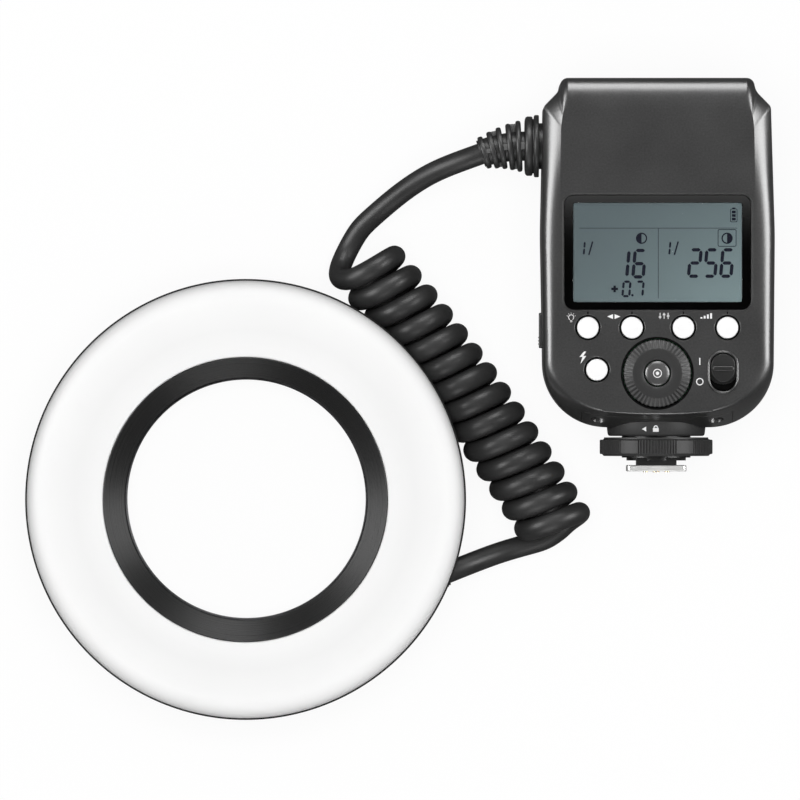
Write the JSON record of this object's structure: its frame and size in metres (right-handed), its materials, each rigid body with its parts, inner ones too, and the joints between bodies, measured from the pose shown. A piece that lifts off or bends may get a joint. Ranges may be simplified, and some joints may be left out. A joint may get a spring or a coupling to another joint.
{
  "type": "macro ring flash",
  "caption": "Ring flash for close-up photography: a round lit head on a lens adapter, a shoe-mounted control unit with display, keys and dial, and a curly cord that joins them.",
  "frame": {"origin": "on the ring head's optical axis, at the end of the adapter's thread, which is the plane of the table that the set lies on", "axes": "+Z the way the light goes, up from the table; +X from the head's axis towards the control unit's side; +Y from the unit's foot towards its top"},
  "size_m": [0.2341, 0.1999, 0.0518],
  "materials": {
    "charcoal_plastic": "fine-textured, satin",
    "black_plastic": "matte",
    "white_diffuser": "frosted",
    "bright_aluminium": "bright rolled",
    "lamp_glass": "clear",
    "steel": "plain",
    "silicone": "soft",
    "circuit_board": "solder mask",
    "black_anodised": "black anodised, satin",
    "black_rubber": "matte",
    "cord_rubber": "soft sheen",
    "window": "clear with a black border",
    "lcd": "grey display",
    "white_plastic": "plain",
    "white_keys": "smooth",
    "dial_black": "satin",
    "capacitor_sleeve": "shrink sleeve",
    "winding": "taped winding",
    "contact_metal": "plated",
    "dark_red_window": "smoked red",
    "ring_grey": "satin",
    "shoe_metal": "satin nickel"
  },
  "bodies": {
    "flash": {"head_housing": "charcoal_plastic", "funnel": "black_plastic", "diffuser": "white_diffuser", "reflector": "bright_aluminium", "lamp_carrier": "black_plastic", "flash_tube_a": "lamp_glass", "flash_tube_b": "lamp_glass", "tube_electrodes": "steel", "tube_grommets": "silicone", "lamp_boards": "circuit_board", "head_board": "circuit_board", "head_screws": "steel", "latch_spring_top": "steel", "latch_spring_bottom": "steel", "head_gland": "black_rubber", "cord_lower": "cord_rubber", "cord_curls": "cord_rubber", "cord_upper": "cord_rubber", "cable_boot": "black_rubber", "rear_housing": "charcoal_plastic", "front_housing": "charcoal_plastic", "lcd_window": "window", "lcd_panel": "lcd", "lcd_holder": "white_plastic", "encoder": "steel", "slide_switch": "steel", "key_switches": "steel", "control_board": "circuit_board", "power_board": "circuit_board", "board_screws": "steel", "capacitor": "capacitor_sleeve", "transformer": "winding", "port_socket": "steel", "battery_sleeve": "black_plastic", "battery_contacts": "contact_metal", "case_screws_set": "steel", "sensor_window": "dark_red_window", "foot_bracket": "charcoal_plastic", "bracket_screws_set": "steel", "foot_collar": "black_plastic", "foot_stem": "black_plastic", "shoe_plate": "shoe_metal"},
    "adapter": {"adapter_ring": "black_anodised"},
    "latch_top": {"latch_top": "charcoal_plastic"},
    "latch_bottom": {"latch_bottom": "charcoal_plastic"},
    "key_1": {"key_1": "white_keys"},
    "key_2": {"key_2": "white_keys"},
    "key_3": {"key_3": "white_keys"},
    "key_4": {"key_4": "white_keys"},
    "test_key": {"test_key": "white_keys"},
    "set_key": {"set_key": "dial_black"},
    "dial": {"dial": "dial_black"},
    "power_knob": {"power_knob": "black_plastic"},
    "port_cover": {"port_cover": "black_rubber"},
    "battery": {"battery_pack": "black_plastic", "battery_cap": "charcoal_plastic"},
    "battery_release": {"battery_release": "black_plastic"},
    "lock_ring": {"lock_ring": "ring_grey"},
    "lock_pin": {"lock_pin": "steel"},
    "contact_pins": {"contact_pins": "contact_metal"}
  },
  "joints": [
    {"name": "adapter_turn", "type": "hinge", "parent": "flash", "child": "adapter", "pos_m": [0, 0, 0.006], "axis": [0, 0, 1], "continuous": true},
    {"name": "latch_top_slide", "type": "slide", "parent": "flash", "child": "latch_top", "axis": [0, 1, 0], "range_m": [0, 0.002], "stiffness_N_per_m": 500, "deforming": ["latch_spring_top"]},
    {"name": "latch_bottom_slide", "type": "slide", "parent": "flash", "child": "latch_bottom", "axis": [0, -1, 0], "range_m": [0, 0.002], "stiffness_N_per_m": 500, "deforming": ["latch_spring_bottom"]},
    {"name": "key_1_press", "type": "slide", "parent": "flash", "child": "key_1", "axis": [0, 0, -1], "range_m": [0, 0.0006], "stiffness_N_per_m": 400},
    {"name": "key_2_press", "type": "slide", "parent": "flash", "child": "key_2", "axis": [0, 0, -1], "range_m": [0, 0.0006], "stiffness_N_per_m": 400},
    {"name": "key_3_press", "type": "slide", "parent": "flash", "child": "key_3", "axis": [0, 0, -1], "range_m": [0, 0.0006], "stiffness_N_per_m": 400},
    {"name": "key_4_press", "type": "slide", "parent": "flash", "child": "key_4", "axis": [0, 0, -1], "range_m": [0, 0.0006], "stiffness_N_per_m": 400},
    {"name": "test_key_press", "type": "slide", "parent": "flash", "child": "test_key", "axis": [0, 0, -1], "range_m": [0, 0.0006], "stiffness_N_per_m": 400},
    {"name": "set_key_press", "type": "slide", "parent": "flash", "child": "set_key", "axis": [0, 0, -1], "range_m": [0, 0.0006], "stiffness_N_per_m": 400},
    {"name": "dial_turn", "type": "hinge", "parent": "flash", "child": "dial", "pos_m": [0.1283, 0.0394, 0.05], "axis": [0, 0, 1], "continuous": true},
    {"name": "power_slide", "type": "slide", "parent": "flash", "child": "power_knob", "axis": [0, -1, 0], "range_m": [0, 0.0026]},
    {"name": "port_cover_swing", "type": "hinge", "parent": "flash", "child": "port_cover", "pos_m": [0.0913, 0.05785, 0.0332], "axis": [0, 0, -1], "range_deg": [0, 80]},
    {"name": "battery_slide", "type": "slide", "parent": "flash", "child": "battery", "axis": [1, 0, 0], "range_m": [0, 0.066]},
    {"name": "battery_release_slide", "type": "slide", "parent": "battery", "child": "battery_release", "axis": [0, -1, 0], "range_m": [0, 0.0028], "stiffness_N_per_m": 300},
    {"name": "lock_ring_turn", "type": "hinge", "parent": "flash", "child": "lock_ring", "pos_m": [0.1284, 0.0176, 0.026], "axis": [0, 1, 0], "range_deg": [0, 90]},
    {"name": "lock_pin_slide", "type": "slide", "parent": "flash", "child": "lock_pin", "axis": [0, -1, 0], "range_m": [0, 0.00172]},
    {"name": "contact_pins_press", "type": "slide", "parent": "flash", "child": "contact_pins", "axis": [0, 1, 0], "range_m": [0, 0.0004], "stiffness_N_per_m": 300}
  ],
  "couplings": [
    {"joint": "lock_pin_slide", "follows": "lock_ring_turn", "m_per_rad": 0.001082}
  ]
}
